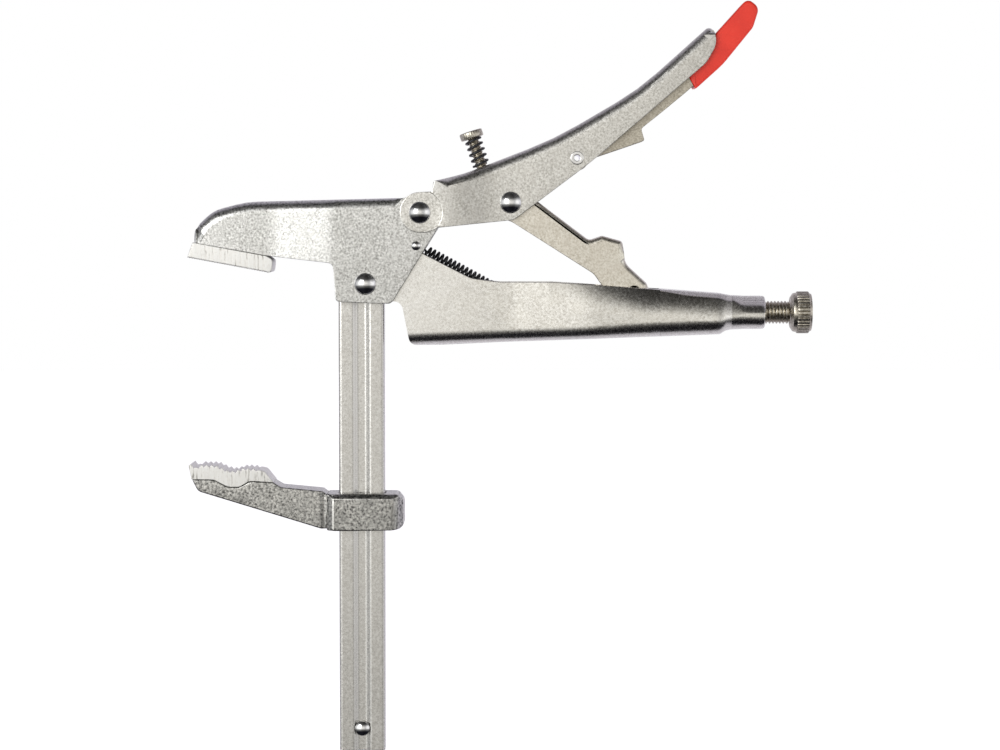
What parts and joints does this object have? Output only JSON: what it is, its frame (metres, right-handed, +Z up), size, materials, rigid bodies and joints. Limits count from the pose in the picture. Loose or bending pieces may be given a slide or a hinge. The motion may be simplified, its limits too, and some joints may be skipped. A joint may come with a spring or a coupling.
{
  "type": "locking bar clamp",
  "caption": "Toggle-locking pliers clamp: pressed steel jaw and handles on a grooved rail, with a sliding lower arm, adjusting screw and release lever.",
  "frame": {"origin": "centre of the rail's lower end face", "axes": "+Z up the rail, towards the upper jaw; +X towards the handles; Y across the sheet-metal plates, which the part is symmetric about"},
  "size_m": [0.2728, 0.03, 0.329],
  "materials": {
    "plated_sheet": "satin nickel-plated pressed steel with a fine pebbled grain",
    "link_plating": "satin plated pressed steel with a slightly warm tint",
    "rail_steel": "satin plated rolled bar, ribbed narrow edges",
    "forged_arm": "darker satin plating over a forged surface",
    "ground_pad": "bright sheared steel with cut teeth",
    "rivet_steel": "bright polished rivet steel",
    "screw_steel": "grey-brown turned steel, knurled",
    "black_spring": "black oil-blued spring wire, semi-gloss",
    "red_vinyl": "dipped red vinyl, soft gloss"
  },
  "bodies": {
    "frame": {"rail": "rail_steel", "rail_stop_pin": "rivet_steel", "rail_fixing_pin": "rivet_steel", "lower_handle": "plated_sheet", "jaw_pivot_rivet": "rivet_steel", "jaw_spring": "black_spring"},
    "upper_jaw": {"upper_jaw": "plated_sheet", "upper_pad": "ground_pad", "spring_pin": "rivet_steel", "handle_pivot_rivet": "rivet_steel"},
    "upper_handle": {"upper_handle": "plated_sheet", "toggle_rivet": "rivet_steel", "lever_rivet": "rivet_steel"},
    "toggle_link": {"toggle_link": "link_plating"},
    "release_lever": {"release_lever": "link_plating", "lever_grip": "red_vinyl"},
    "stop_spring": {"stop_spring": "black_spring"},
    "stop_screw": {"stop_screw": "screw_steel"},
    "adjusting_screw": {"adjusting_screw": "screw_steel"},
    "adjusting_knob": {"adjusting_knob": "screw_steel"},
    "sliding_arm": {"sliding_arm": "forged_arm", "lower_pad": "ground_pad"}
  },
  "joints": [
    {"name": "jaw_pivot", "type": "hinge", "parent": "frame", "child": "upper_jaw", "pos_m": [0.002, 0, 0.2061], "axis": [0, -1, 0], "range_deg": [0, 11.55], "stiffness_Nm_per_rad": 0.95, "springref_deg": -57.3, "deforming": ["jaw_spring"]},
    {"name": "handle_squeeze", "type": "hinge", "parent": "upper_jaw", "child": "upper_handle", "pos_m": [0.0258, 0, 0.2371], "axis": [0, 1, 0], "range_deg": [0, 40.1]},
    {"name": "toggle_pivot", "type": "hinge", "parent": "upper_handle", "child": "toggle_link", "pos_m": [0.0653, 0, 0.2415], "axis": [0, -1, 0], "range_deg": [0, 41.95]},
    {"name": "release_lever_pivot", "type": "hinge", "parent": "upper_handle", "child": "release_lever", "pos_m": [0.0942, 0, 0.2608], "axis": [0, 1, 0], "range_deg": [0, 7]},
    {"name": "stop_screw_travel", "type": "slide", "parent": "upper_handle", "child": "stop_spring", "axis": [-0.309, 0, 0.9511], "range_m": [0, 0.0056], "deforming": ["stop_spring"]},
    {"name": "stop_screw_turn", "type": "hinge", "parent": "stop_spring", "child": "stop_screw", "pos_m": [0.0482, 0, 0.271], "axis": [-0.309, 0, 0.9511], "range_deg": [0, 2520]},
    {"name": "screw_travel", "type": "slide", "parent": "frame", "child": "adjusting_screw", "axis": [1, 0, 0], "range_m": [0, 0.012]},
    {"name": "knob_turn", "type": "hinge", "parent": "adjusting_screw", "child": "adjusting_knob", "pos_m": [0.193, 0, 0.1934], "axis": [1, 0, 0], "range_deg": [0, 2880]},
    {"name": "arm_slide", "type": "slide", "parent": "frame", "child": "sliding_arm", "axis": [0, 0, 1], "range_m": [-0.085, 0.07]}
  ],
  "couplings": [
    {"joint": "jaw_pivot", "follows": "handle_squeeze", "ratio": 0.2868},
    {"joint": "toggle_pivot", "follows": "handle_squeeze", "ratio": 1.0444},
    {"joint": "stop_screw_turn", "follows": "stop_screw_travel", "rad_per_m": 7854},
    {"joint": "knob_turn", "follows": "screw_travel", "rad_per_m": 4188.8}
  ]
}
